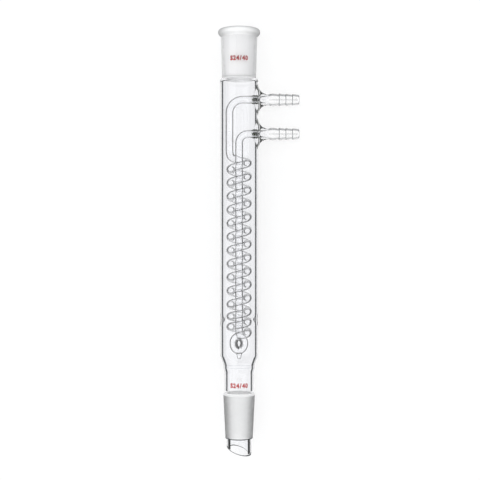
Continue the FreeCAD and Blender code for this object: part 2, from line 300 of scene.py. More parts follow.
def parted(sheet: Sheet, *choices: tuple[np.ndarray, Skin]) -> list[Sheet]:
    """Give chosen faces of a sheet finishes of their own.

    Args:
        sheet: the sheet, which keeps the other faces.
        *choices: for each choice, whether each face is chosen, and the finish.

    Returns:
        The sheet, and a sheet for each choice.
    """
    chosen = [Sheet(sheet.points, sheet.faces[faces], skin) for faces, skin in choices]
    sheet.faces = sheet.faces[~np.any([faces for faces, _ in choices], axis=0)]
    return [sheet, *chosen]


def at_ends(sheet: Sheet, count: int) -> np.ndarray:
    """Whether each face is among a sheet's first or last few."""
    number = np.arange(len(sheet.faces))
    return np.minimum(number, number[::-1]) < count


@dataclass
class Plan:
    """Sizes that more than one piece shares, in mm, and the heights that follow from them."""

    joint_r: float = 12.0
    joint_taper: float = 0.1
    cone_length: float = 33.0
    tip_length: float = 13.0
    stem_length: float = 17.2
    weld_r: float = 11.9
    weld_rise: float = 2.6
    weld_band: float = 1.4
    jacket_r: float = 14.4
    wall: float = 1.8
    jacket_length: float = 208.4
    shoulder_rise: float = 6.8
    crown_rise: float = 1.6
    socket_foot_r: float = 12.95
    socket_length: float = 37.0
    connector_drop: float = 14.7
    connector_spacing: float = 25.9
    neck_end: float = 22.2
    neck_r: float = 4.1
    hose_bore_r: float = 3.1
    seal_reach: float = 1.4
    tube_r: float = 3.0

    def __post_init__(self) -> None:
        """Stack the heights from the drip tip up, and hang the connectors from the jacket's head."""
        self.cone_head = self.tip_length + self.cone_length
        self.stem_head = self.cone_head + self.stem_length
        self.flare_head = self.stem_head + self.weld_rise
        self.weld = self.flare_head + self.weld_band
        self.shoulder_head = self.weld + self.weld_band + self.shoulder_rise
        self.jacket_head = self.shoulder_head + self.jacket_length
        self.socket_foot = self.jacket_head + self.crown_rise
        self.rim_head = self.socket_foot + self.socket_length
        self.upper = self.jacket_head - self.connector_drop
        self.lower = self.upper - self.connector_spacing
        self.bore_r = self.jacket_r - self.wall
        self.seal_x = self.bore_r + self.seal_reach

    def taper_r(self, drop: float) -> float:
        """Radius of a ground joint some way below its wide end."""
        return self.joint_r - self.joint_taper * drop / 2


@dataclass(frozen=True)
class Bench:
    """Where the condenser lies: its origin and its own directions, in the row frame, in metres."""

    origin: np.ndarray
    side: np.ndarray
    back: np.ndarray
    up: np.ndarray

    @classmethod
    def from_record(cls, record: dict, socket_mouth_z: float) -> "Bench":
        """Read the place from the record's mounts.

        Args:
            record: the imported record.
            socket_mouth_z: height of the socket's mouth in the condenser's own frame, in mm.

        Returns:
            The bench that carries the condenser.
        """
        mounts = {mount["name"]: mount for mount in record["mounts"]}
        up = unit(np.array(mounts["socket_taper"]["axis"], float))
        side = np.array(mounts["upper_hose_barb"]["axis"], float)
        side = unit(side - up * (side @ up))
        mouth = np.array(mounts["socket_taper"]["pos_m"], float)
        return cls(mouth - up * socket_mouth_z * MM, side, np.cross(up, side), up)

    def place(self, points: np.ndarray) -> np.ndarray:
        """Carry points from the condenser's frame in mm to the row frame in metres."""
        return self.origin + points * MM @ np.stack([self.side, self.back, self.up])


class NodeBook:
    """Writes shader nodes into one tree, from left to right."""

    def __init__(self, tree: bpy.types.NodeTree) -> None:
        """Start an empty tree."""
        tree.nodes.clear()
        self.tree = tree

    def add(self, kind: str, *first: object, **named: object) -> bpy.types.Node:
        """Add a node. An input takes a plain value, or the output socket that feeds it.

        Args:
            kind: Blender's name of the node.
            *first: the node's first inputs, in order.
            **named: its own settings, in small letters, and further inputs, which start with a capital and
                have _ for a blank.

        Returns:
            The node.
        """
        node = self.tree.nodes.new(kind)
        node.location = (len(self.tree.nodes) * 180, 0)
        for name in [name for name in named if name.islower()]:
            setattr(node, name, named.pop(name))
        pairs = list(zip(node.inputs, first))
        pairs += [(node.inputs[name.replace("_", " ")], value) for name, value in named.items()]
        for socket, value in pairs:
            if isinstance(value, bpy.types.NodeSocket):
                self.tree.links.new(value, socket)
            else:
                socket.default_value = value
        return node

    def math(self, operation: str, first: object, second: object) -> bpy.types.NodeSocket:
        """The result of one step of arithmetic on two plain values or outputs."""
        return self.add("ShaderNodeMath", first, second, operation=operation).outputs[0]

    def mixed(self, share: object, first: object, second: object) -> bpy.types.NodeSocket:
        """Two shaders mixed: the first at share 0, the second at share 1."""
        return self.add("ShaderNodeMixShader", share, first, second).outputs[0]

    def blended(self, share: object, first: Colour, second: Colour) -> bpy.types.NodeSocket:
        """Two plain colours mixed.

        Args:
            share: share of the second, a plain value or an output.
            first: colour at share 0.
            second: colour at share 1.

        Returns:
            The colour's socket.
        """
        mix = self.add("ShaderNodeMix", share, data_type="RGBA")
        sockets = [socket for socket in mix.inputs if socket.type == "RGBA"]
        for socket, colour in zip(sockets, (first, second)):
            socket.default_value = (*colour, 1.0)
        return [socket for socket in mix.outputs if socket.type == "RGBA"][0]

    def by_angle(self, stops: Stops) -> bpy.types.NodeSocket:
        """A grey that depends on how aslant the surface is met, from 0 face on to 1 edge on.

        Args:
            stops: (place, grey) pairs that climb.

        Returns:
            The grey's socket.
        """
        angle = self.add("ShaderNodeLayerWeight", Blend=0.5)
        ramp = self.add("ShaderNodeValToRGB", angle.outputs["Facing"])
        elements = ramp.color_ramp.elements
        while len(elements) > 1:
            elements.remove(elements[-1])
        elements[0].position = stops[0][0]
        for place, _ in stops[1:]:
            elements.new(place)
        for element, (_, grey) in zip(elements, stops):
            element.color = (grey, grey, grey, 1.0)
        return ramp.outputs["Color"]


def new_group(name: str, inputs: dict[str, float], outputs: tuple[str, ...]) -> NodeBook:
    """Make an empty shader node group of plain numbers.

    Args:
        name: the group's name.
        inputs: starting value of each input.
        outputs: name of each output.

    Returns:
        The writer of its tree.
    """
    group = bpy.data.node_groups.new(name, "ShaderNodeTree")
    for label, value in inputs.items():
        group.interface.new_socket(label, in_out="INPUT", socket_type="NodeSocketFloat").default_value = value
    for label in outputs:
        group.interface.new_socket(label, in_out="OUTPUT", socket_type="NodeSocketFloat")
    return NodeBook(group)


def drawn_waves() -> bpy.types.NodeTree:
    """Slow swells of drawn glass, long along the axis and short across it, as a height.

    Returns:
        The group.
    """
    book = new_group("drawn_waves", {"Across": 90.0, "Along": 22.0}, ("Height",))
    values = book.add("NodeGroupInput").outputs
    scale = book.add("ShaderNodeCombineXYZ", values["Across"], values["Along"], values["Across"])
    place = book.add("ShaderNodeTexCoord").outputs["Object"]
    mapped = book.add("ShaderNodeVectorMath", place, scale.outputs[0], operation="MULTIPLY")
    noise = book.add("ShaderNodeTexNoise", mapped.outputs[0], Scale=1.0, Detail=2.0, Roughness=0.4)
    book.add("NodeGroupOutput", noise.outputs["Fac"])
    return book.tree


def ground_grain() -> bpy.types.NodeTree:
    """Fine grinding pits with rings of coarser scratches round the joint, as a height and a bloom mask.

    Returns:
        The group.
    """
    book = new_group("ground_grain", {"Grain Scale": 4500.0}, ("Height", "Bloom"))
    scale = book.add("NodeGroupInput").outputs["Grain Scale"]
    place = book.add("ShaderNodeTexCoord").outputs["Object"]
    pits = book.add("ShaderNodeTexNoise", place, Scale=scale, Detail=3.0, Roughness=0.7).outputs["Fac"]
    rings = book.add("ShaderNodeMapping", place, Scale=(40.0, 2600.0, 40.0))
    scratch = book.add("ShaderNodeTexNoise", rings.outputs[0], Scale=1.0, Detail=2.0, Roughness=0.6)
    clouds = book.add("ShaderNodeTexNoise", place, Scale=220.0, Detail=3.0, Roughness=0.55)
    height = book.math("ADD", pits, book.math("MULTIPLY", scratch.outputs["Fac"], 0.6))
    bloom = book.add("ShaderNodeMapRange", clouds.outputs["Fac"], From_Min=0.3, From_Max=0.7, To_Min=0.8,
                     To_Max=1.0)
    fine = book.math("ADD", 0.85, book.math("MULTIPLY", pits, 0.3))
    book.add("NodeGroupOutput", height, book.math("MULTIPLY", bloom.outputs[0], fine))
    return book.tree


class Finisher:
    """Makes the material of each skin."""

    def __init__(self, axis: np.ndarray) -> None:
        """Build the shared effects, and keep the condenser's axis for the light at its ends.

        Args:
            axis: the axis's direction in the row frame.
        """
        self.axis = tuple(axis)
        self.waves, self.grain = drawn_waves(), ground_grain()
        self.made: dict[Skin, bpy.types.Material] = {}

    def material(self, skin: Skin) -> bpy.types.Material:
        """The material of a skin, made the first time that it is asked for.

        Args:
            skin: the finish wanted.

        Returns:
            The material.
        """
        if skin not in self.made:
            finish = skin.value
            material = bpy.data.materials.new(finish.name)
            material.use_nodes = True
            dress = {GlassFinish: self._clear, GroundFinish: self._ground, InkFinish: self._ink}[type(finish)]
            book = NodeBook(material.node_tree)
            book.add("ShaderNodeOutputMaterial", dress(book, finish))
            self.made[skin] = material
        return self.made[skin]

    def _clear(self, book: NodeBook, finish: GlassFinish) -> bpy.types.NodeSocket:
        """Clear glass with painted shade: a dark matt shader is mixed in near the angle at which glass turns
        light aside.

        The painted light at the ends leaves 1 less end_light times (normal . axis) squared of the painted
        shade.

        Args:
            book: the tree's writer.
            finish: its values.

        Returns:
            The shader's socket.
        """
        waves = book.add("ShaderNodeGroup", node_tree=self.waves).outputs
        bump = book.add("ShaderNodeBump", Height=waves["Height"], Strength=finish.wave, Distance=0.001)
        glass = book.add("ShaderNodeBsdfPrincipled", Base_Color=(*finish.tint, 1.0), IOR=GLASS_IOR,
                         Roughness=finish.roughness, Transmission_Weight=1.0, Normal=bump.outputs[0])
        shader = glass.outputs[0]
        geometry = book.add("ShaderNodeNewGeometry").outputs
        inside = geometry["Backfacing"]
        # Painted shade: mix a dark matt shader in by how aslant the surface is met, from inside (turned) or
        # outside (edge).
        for stops, from_inside in ((finish.turned, True), (finish.edge, False)):
            if stops:
                seen = inside if from_inside else book.math("SUBTRACT", 1.0, inside)
                share = book.math("MULTIPLY", book.by_angle(stops), seen)
                # Painted light from the ends: less of the painted shade where the normal faces along the
                # axis.
                if finish.end_light:
                    facing = book.add("ShaderNodeVectorMath", geometry["Normal"], self.axis,
                                      operation="DOT_PRODUCT")
                    lit = book.math("MULTIPLY", facing.outputs["Value"], facing.outputs["Value"])
                    left = book.math("SUBTRACT", 1.0, book.math("MULTIPLY", lit, finish.end_light))
                    share = book.math("MULTIPLY", share, left)
                dark = book.add("ShaderNodeBsdfPrincipled", Base_Color=(*finish.dark, 1.0), Roughness=0.9,
                                Specular_IOR_Level=0.0)
                shader = book.mixed(share, shader, dark.outputs[0])
        return self._lit_through(book, shader, finish.glow)

    def _ground(self, book: NodeBook, finish: GroundFinish) -> bpy.types.NodeSocket:
        """Ground glass: a rough see-through surface with a pale bloom, whose colour is painted shade that is
        greyer where it is seen aslant.

        Args:
            book: the tree's writer.
            finish: its values.

        Returns:
            The shader's socket.
        """
        grain = book.add("ShaderNodeGroup", finish.grain_scale, node_tree=self.grain).outputs
        bump = book.add("ShaderNodeBump", Height=grain["Height"], Strength=finish.grain_depth,
                        Distance=0.0002)
        rough = book.add("ShaderNodeMapRange", grain["Bloom"], To_Min=finish.roughness - finish.spread,
                         To_Max=finish.roughness + finish.spread)
        glass = book.add("ShaderNodeBsdfPrincipled", Base_Color=(*finish.tint, 1.0), IOR=GLASS_IOR,
                         Roughness=rough.outputs[0], Transmission_Weight=1.0, Normal=bump.outputs[0])
        # The bloom's colour is painted shade by angle.
        bloom = book.add("ShaderNodeBsdfPrincipled", Base_Color=book.by_angle(finish.shade_greys), Roughness=0.8,
                         Normal=bump.outputs[0])
        share = book.math("MULTIPLY", grain["Bloom"], finish.bloom_share)
        return self._lit_through(book, book.mixed(share, glass.outputs[0], bloom.outputs[0]), finish.glow)

    def _ink(self, book: NodeBook, finish: InkFinish) -> bpy.types.NodeSocket:
        """Fired red ink, paler where it is thin.

        Args:
            book: the tree's writer.
            finish: its values.

        Returns:
            The shader's socket.
        """
        grain = book.add("ShaderNodeGroup", finish.grain_scale, node_tree=self.grain).outputs
        colour = book.blended(grain["Bloom"], finish.worn, finish.colour)
        bump = book.add("ShaderNodeBump", Height=grain["Height"], Strength=0.1, Distance=0.0001)
        return book.add("ShaderNodeBsdfPrincipled", Base_Color=colour, Roughness=finish.roughness,
                        Normal=bump.outputs[0]).outputs[0]

    @staticmethod
    def _lit_through(book: NodeBook, shader: bpy.types.NodeSocket, glow: float) -> bpy.types.NodeSocket:
        """Let the lamps' light through, dimmed a little at each surface, so that glass casts a pale shadow.

        Args:
            book: the tree's writer.
            shader: what every other ray sees.
            glow: share of light that passes each surface.

        Returns:
            The shader's socket.
        """
        path = book.add("ShaderNodeLightPath")
        clear = book.add("ShaderNodeBsdfTransparent", (glow, glow, glow, 1.0))
        return book.mixed(path.outputs["Is Shadow Ray"], shader, clear.outputs[0])


def placed(name: str, data: bpy.types.ID) -> bpy.types.Object:
    """Put a mesh, a lamp, a camera or a text into the scene.

    Args:
        name: the object's name.
        data: what it shows.

    Returns:
        The object.
    """
    made = bpy.data.objects.new(name, data)
    bpy.context.scene.collection.objects.link(made)
    return made


class Shop:
    """Turns sheets into finished objects on the bench."""

    def __init__(self, bench: Bench) -> None:
        """Open the shop, where the condenser lies."""
        self.bench = bench
        self.finisher = Finisher(bench.up)

    def make(self, name: str, sheets: list[Sheet], node: str) -> None:
        """Join sheets into one smooth object. Points that they share are merged, which also closes poles.

        Args:
            name: the object's name.
            sheets: its surfaces.
            node: the CAD node that it stands for.
        """
        skins = list(dict.fromkeys(sheet.skin for sheet in sheets))
        starts = np.cumsum([0] + [len(sheet.points) for sheet in sheets])
        points = self.bench.place(np.concatenate([sheet.points for sheet in sheets]))
        faces = np.concatenate([sheet.faces + start for sheet, start in zip(sheets, starts)])
        look = np.concatenate([np.full(len(sheet.faces), skins.index(sheet.skin)) for sheet in sheets])
        mesh = bpy.data.meshes.new(name)
        mesh.from_pydata(points, [], faces)
        for skin in skins:
            mesh.materials.append(self.finisher.material(skin))
        mesh.polygons.foreach_set("material_index", look.astype(np.int32))
        work = bmesh.new()
        work.from_mesh(mesh)
        bmesh.ops.remove_doubles(work, verts=work.verts, dist=WELD_DISTANCE)
        bmesh.ops.dissolve_degenerate(work, edges=work.edges, dist=WELD_DISTANCE)
        work.to_mesh(mesh)
        work.free()
        mesh.polygons.foreach_set("use_smooth", np.ones(len(mesh.polygons), bool))
        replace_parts(self.show(name, mesh), node)

    def show(self, name: str, mesh: bpy.types.Mesh) -> bpy.types.Object:
        """Put a finished mesh on the root body.

        Args:
            name: the object's name.
            mesh: its mesh.

        Returns:
            The object.
        """
        mesh.update()
        made = placed(name, mesh)
        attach(made, "root")
        LOG.info("%s: %d faces", name, len(mesh.polygons))
        return made


class Piece:
    """A fused piece of glass: its CAD node, its slot, and the object's name where that isn't the node's."""

    node: str
    title = ""
    slot = Slot.CLEAR

    def sheets(self) -> list[Sheet]:
        """The piece's surfaces."""
        raise NotImplementedError

    def build(self, shop: Shop) -> None:
        """Make the piece."""
        shop.make((self.title or self.node) + "_glass", self.sheets(), self.node)


@dataclass
class ConeJoint(Piece):
    """Drip tip cut at a slant, ground cone and clear stem."""

    plan: Plan
    tip_r: float = 9.3
    tip_wall: float = 2.0
    tip_cut_rise: float = 6.8
    tip_cut_turn: float = 35.0
    tip_round: float = 0.85
    tip_rows: int = 12
    cone_rows: int = 24
    cone_lip: float = 0.8
    ledge_height: float = 0.3
    stem_r: float = 11.15
    edge_round: float = 0.35
    flare_round: float = 3.0
    weld_ring: float = 0.7
    node = "cone_joint"
    slot = Slot.GROUND

    def _slanted(self, sheet: Sheet) -> Sheet:
        """Shear the drip tip so that its end rises from the right and front to the left and back.

        A point at height z moves up by (1 - z / tip length) times the cut's rise at its place across the tip.

        Args:
            sheet: the straight tip.

        Returns:
            The slanted tip.
        """
        x, y, z = sheet.points.T
        turn = math.radians(self.tip_cut_turn)
        across = x * math.cos(turn) - y * math.sin(turn)
        share = np.clip(1 - z / self.plan.tip_length, 0, 1)
        sheet.points[:, 2] += share * self.tip_cut_rise * (self.tip_r - across) / (2 * self.tip_r)
        return sheet

    def sheets(self) -> list[Sheet]:
        """The joint's surfaces, from the clear bore round the tip's edge to the weld.

        Returns:
            The sheets.
        """
        plan, step = self.plan, self.edge_round
        tip_bore_r, stem_bore_r = self.tip_r - self.tip_wall, self.stem_r - plan.wall
        weld_bore_r, narrow_r = plan.weld_r - plan.wall, plan.taper_r(plan.cone_length)
        tip = rounded([
            (tip_bore_r, plan.tip_length, 0),
            (tip_bore_r, 0, self.tip_round),
            (self.tip_r, 0, self.tip_round),
            (self.tip_r, plan.tip_length - step, 0),
        ])
        lip = rounded([
            (self.tip_r, plan.tip_length - step, 0),
            (self.tip_r, plan.tip_length, step),
            (narrow_r, plan.tip_length, step),
            (narrow_r + plan.joint_taper * step, plan.tip_length + 2 * step, 0),
        ])
        ledge = rounded([
            (plan.taper_r(self.ledge_height), plan.cone_head - self.ledge_height, 0),
            (plan.joint_r, plan.cone_head, step),
            (self.stem_r, plan.cone_head + self.cone_lip, step),
            (self.stem_r, plan.cone_head + self.cone_lip + 2 * step, 0),
        ])
        stem = rounded([
            (*ledge[-1], 0),
            (self.stem_r, plan.stem_head, self.flare_round),
            (plan.weld_r, plan.flare_head, self.flare_round / 2),
            (plan.weld_r, plan.weld, 0),
        ])
        bore = rounded([
            (weld_bore_r, plan.weld - self.weld_ring, 0),
            (weld_bore_r, plan.flare_head, self.weld_ring),
            (stem_bore_r, plan.stem_head, self.flare_round),
            (stem_bore_r, plan.cone_head + self.flare_round, 0),
        ])
        cone_bore = rounded([
            (*bore[-1], 0),
            (stem_bore_r, plan.cone_head, self.flare_round),
            (tip_bore_r, plan.tip_length, 0),
        ])
        return [
            # The weld band gets a darker tint that paints a grey shade line.
            turned(np.array([(weld_bore_r, plan.weld), bore[0]]), Skin.WELD),
            turned(bore, Skin.STEM_BORE),
            turned(cone_bore, Skin.PLAIN),
            self._slanted(turned(np.linspace(tip[0], tip[1], self.tip_rows), Skin.TIP_BORE)),
            self._slanted(turned(tip[1:-1], Skin.TIP_EDGE)),
            self._slanted(turned(np.linspace(tip[-2], tip[-1], self.tip_rows), Skin.CLEAR)),
            turned(lip, Skin.LIP),
            turned(np.linspace(lip[-1], ledge[0], self.cone_rows), Skin.GROUND),
            turned(ledge, Skin.LEDGE),
            turned(stem, Skin.CLEAR),
        ]


@dataclass
class JacketTube(Piece):
    """Outer tube with its shoulder, its pressed dents and the flared necks with their ring seals."""

    plan: Plan
    weld_round: float = 1.5
    shoulder_round: float = 8.0
    crown_round: float = 1.4
    crown_sag: float = 1.3
    ground_sag: float = 1.3
    wall_step: float = 4.0
    dent_angles: tuple[float, ...] = (0.0, 90.0, 180.0)
    dent_rise: float = 27.3
    dent_depth: float = 2.0
    dent_width: float = 2.1
    dent_share: float = 0.12
    dent_zone: float = 6.0
    dent_step: float = 0.5
    flare_wall: float = 1.5
    flare_round: float = 7.7
    arc_rows: int = 15
    field_rows: int = 9
    neck_rows: int = 5
    window_cells: int = 30
    window_half: float = 12.5
    window_step: float = 1.0
    pocket_round: float = 0.55
    pocket_depth: float = 0.6
    pocket_start_pull: float = 1.5
    pocket_end_pull: float = 1.0
    pocket_rows: int = 11
    seat_rows: int = 4
    node = "jacket_tube"
    title = "jacket"

    def _rings(self) -> np.ndarray:
        """Heights of the rings on the straight stretch, closest at the dents and the connectors.

        Returns:
            The heights.
        """
        dent = self.plan.shoulder_head + self.dent_rise
        cell = 2 * self.window_half / self.window_cells
        marks = [(dent - self.dent_zone, self.dent_step), (dent + self.dent_zone, self.wall_step)]
        for height in (self.plan.lower, self.plan.upper):
            marks += [(height - self.window_half, cell), (height + self.window_half, self.window_step)]
        rings = [marks[0][:1]]
        for (low, step), (high, _) in zip(marks, marks[1:]):
            rings.append(np.linspace(low, high, round((high - low) / step) + 1)[1:])
        return np.concatenate(rings)

    def _outline(self, inset: float) -> np.ndarray:
        """The wall's outline from the lower weld to the upper one, with its rings.

        Args:
            inset: 0 outside, or the wall for the bore.

        Returns:
            Array of (radius, height) rows that climb.
        """
        plan, rings = self.plan, self._rings()
        outline = rounded([
            (plan.weld_r - inset, plan.weld, 0),
            (plan.weld_r - inset, plan.weld + plan.weld_band, self.weld_round),
            (plan.jacket_r - inset, plan.shoulder_head, self.shoulder_round - inset),
            (plan.jacket_r - inset, plan.jacket_head - (self.crown_sag if inset else 0), self.crown_round),
            (plan.socket_foot_r - inset, plan.socket_foot, 0),
        ])
        straight = np.column_stack([np.full(len(rings), plan.jacket_r - inset), rings])
        below, above = outline[:, 1] < rings[0], outline[:, 1] > rings[-1]
        return np.concatenate([outline[below], straight, outline[above]])

    def _wall(self, outline: np.ndarray, skin: Skin) -> Sheet:
        """The turned wall with its dents, without the windows that the connectors' collars fill.

        A dent moves each point towards the axis by depth times exp(-(distance / width) squared).

        Args:
            outline: its (radius, height) rows, climbing outside and falling inside.
            skin: its finish.

        Returns:
            The sheet.
        """
        plan = self.plan
        sheet = turned(outline, skin)
        x, y, z = sheet.points[sheet.faces].mean(axis=1).T
        within = np.abs(np.arctan2(y, x)) < math.pi * self.window_cells / RING_COLUMNS
        near = np.minimum(np.abs(z - plan.upper), np.abs(z - plan.lower)) < self.window_half
        sheet.faces = sheet.faces[~(within & near)]
        points = sheet.points
        for turn in np.radians(self.dent_angles):
            aim = np.array([math.cos(turn), math.sin(turn)])
            across = points[:, 1] * aim[0] - points[:, 0] * aim[1]
            rise = points[:, 2] - plan.shoulder_head - self.dent_rise
            push = self.dent_depth * np.exp(-(across**2 + rise**2) / self.dent_width**2)
            points[:, :2] -= (push * (points[:, :2] @ aim > 0))[:, None] * aim
        return sheet

    def _window_edge(self) -> np.ndarray:
        """The window's edge as (angle, rise) from its centre, from its top's middle towards +Y and round.

        Returns:
            Array of shape (points, 2), with the angle in radians and the rise in mm.
        """
        half = self.window_cells // 2
        step = np.arange(self.window_cells) - half
        side = np.full(self.window_cells, half)
        sides = [(step, side), (side, -step), (-step, -side), (-side, step)]
        edge = np.concatenate([np.column_stack(pair) for pair in sides])
        return np.roll(edge, -half, axis=0) * (2 * math.pi / RING_COLUMNS, self.window_half / half)

    def _collar(self, height: float, wall_r: float, pipe_r: float,
                blend: float) -> tuple[np.ndarray, np.ndarray]:
        """The blend between the barrel and a level pipe, as a ball that rolls round the corner leaves it.

        For each angle about the pipe, the ball's centre is pipe_r + blend from the pipe's line and
        wall_r + blend from the condenser's axis. The blend is the arc about it from the barrel to the pipe.
        Outside the arc, the barrel is filled by straight lines to the window's edge, drawn on the unrolled
        wall.

        Args:
            height: height of the pipe's line.
            wall_r: the barrel's radius.
            pipe_r: the pipe's radius.
            blend: the ball's radius.

        Returns:
            Rows of points on the barrel, from the window's edge to the arc, and rows along the arc.
        """
        angle = 2 * math.pi * np.arange(COLLAR_COLUMNS) / COLLAR_COLUMNS
        to_pipe = np.stack([0 * angle, -np.sin(angle), -np.cos(angle)], axis=-1)
        centre = -(pipe_r + blend) * to_pipe
        centre[:, 0] = np.sqrt((wall_r + blend)**2 - centre[:, 1]**2)
        from_wall = -centre * (1, 1, 0) / (wall_r + blend)
        turn = np.arccos(np.clip(np.sum(from_wall * to_pipe, axis=-1), -1, 1))[:, None]
        share = np.linspace(0, 1, self.arc_rows)[:, None, None]
        arc = centre + blend * arc_between(from_wall, to_pipe, turn, share)
        foot = np.column_stack([np.arctan2(arc[0, :, 1], arc[0, :, 0]), arc[0, :, 2]])
        round_wall, rise = np.moveaxis(np.linspace(self._window_edge(), foot, self.field_rows)[:-1], -1, 0)
        field = np.stack([wall_r * np.cos(round_wall), wall_r * np.sin(round_wall), rise], axis=-1)
        return field + (0, 0, height), arc + (0, 0, height)

    def _outer_collar(self, height: float) -> Sheet:
        """The flared neck outside, from its end back to the window's edge.

        Args:
            height: the connector's height.

        Returns:
            The sheet.
        """
        field, arc = self._collar(height, self.plan.jacket_r, self.plan.neck_r, self.flare_round)
        end = arc[-1] * (0, 1, 1) + (self.plan.neck_end, 0, 0)
        neck = np.linspace(arc[-1], end, self.neck_rows)[1:]
        return gridded(np.concatenate([field, arc, neck])[::-1], Skin.CLEAR)

    def _ring_seal(self, height: float) -> list[Sheet]:
        """The flare inside, with the pocket in which the water tube is sealed to it.

        The flare is followed until it is a pocket's round away from the tube. A cubic curve then turns it
        back on to the tube's wall, which it follows to where the tube begins.

        Args:
            height: the connector's height.

        Returns:
            The sheets.
        """
        plan, wall = self.plan, self.flare_wall
        field, arc = self._collar(height, plan.bore_r, plan.neck_r - wall, self.flare_round + wall)
        spread = np.hypot(arc[..., 1], arc[..., 2] - height)
        arc = arc[:int(np.sum(spread.min(axis=1) > plan.tube_r + 2 * self.pocket_round))]
        start = arc[-1]
        aim = unit((start - (0, 0, height)) * (0, 1, 1))
        tube = aim * plan.tube_r + (0, 0, height)
        end = tube + (start[:, :1] + self.pocket_depth) * (1, 0, 0)
        outward = unit(start - arc[-2])
        poles = [start, start + outward * self.pocket_start_pull, end + (self.pocket_end_pull, 0, 0), end]
        share = np.linspace(0, 1, self.pocket_rows)[1:, None, None]
        pocket = sum(math.comb(3, k) * share**k * (1 - share)**(3 - k) * pole for k, pole in enumerate(poles))
        return [
            # The flare's bore, pocket and seat carry painted shade lines, olive at the seal.
            gridded(np.concatenate([field, arc[:1]]), Skin.BORE),
            gridded(np.concatenate([arc, pocket]), Skin.SEAL),
            gridded(np.linspace(end, tube + (plan.seal_x, 0, 0), self.seat_rows), Skin.SEAL_RING),
        ]

    def sheets(self) -> list[Sheet]:
        """The jacket's surfaces. The bore is dented where it is closer to the axis by a share of the depth.

        Returns:
            The sheets.
        """
        plan = self.plan
        bore = self._outline(plan.wall)[::-1]
        slope = bore[1] - bore[0]
        ground_end = bore[0] - slope * self.ground_sag / slope[1]
        crown = int(np.sum(bore[:, 1] > self._rings()[-1])) - 1
        shoulder = int(np.sum(bore[:, 1] > plan.shoulder_head))
        wall = self._wall(bore[crown:shoulder + 1], Skin.BORE)
        x, y, _ = wall.points[wall.faces].mean(axis=1).T
        # Faces pressed in by the dents get painted near-black shade.
        pressed = plan.bore_r - np.hypot(x, y) > self.dent_depth * self.dent_share
        return [
            self._wall(self._outline(0), Skin.CLEAR),
            self._outer_collar(plan.upper),
            self._outer_collar(plan.lower),
            turned(np.stack([bore[0], ground_end]), Skin.GROUND_BORE),
            turned(np.stack([ground_end, bore[1]]), Skin.PLAIN),
            turned(bore[1:crown + 1], Skin.CROWN_BORE),
            *parted(wall, (pressed, Skin.DENT)),
            turned(bore[shoulder:], Skin.STEM_BORE),
            *self._ring_seal(plan.upper),
            *self._ring_seal(plan.lower),
        ]


@dataclass
class SocketJoint(Piece):
    """Ground socket with its beaded rim."""

    plan: Plan
    clear_foot: float = 0.8
    barrel_r: float = 13.75
    barrel_rows: int = 20
    ground_rows: int = 24
    foot_rows: int = 5
    rim_height: float = 5.6
    rim_r: float = 15.9
    rim_round: float = 2.2
    rim_slope: float = 2.0
    rim_hollow: float = 0.8
    mouth_bevel: float = 0.6
    mouth_round: float = 0.5
    node = "socket_joint"
    slot = Slot.GROUND

    def sheets(self) -> list[Sheet]:
        """The socket's surfaces, from the weld up outside, over the rim and down the ground bore.

        Returns:
            The sheets.
        """
        plan = self.plan
        rim_foot = plan.rim_head - self.rim_height
        ground_foot = plan.socket_foot + self.clear_foot
        ground_end = (plan.taper_r(plan.rim_head - ground_foot), ground_foot)
        rim = rounded([
            (self.barrel_r, rim_foot - self.rim_hollow, 0),
            (self.barrel_r, rim_foot, self.rim_hollow),
            (self.rim_r, rim_foot + self.rim_slope, self.rim_round),
            (self.rim_r, plan.rim_head, self.rim_round),
            (plan.joint_r + self.mouth_bevel, plan.rim_head, self.mouth_round),
            (plan.joint_r, plan.rim_head - self.mouth_bevel, 0),
        ])
        weld = (plan.socket_foot_r, plan.socket_foot)
        weld_bore = (plan.socket_foot_r - plan.wall, plan.socket_foot)
        return [
            turned(np.linspace(weld, rim[0], self.barrel_rows), Skin.CLEAR),
            turned(rim, Skin.RIM),
            turned(np.linspace(rim[-1], ground_end, self.ground_rows), Skin.GROUND_BORE),
            turned(np.linspace(ground_end, weld_bore, self.foot_rows), Skin.GROUND_BORE),
        ]


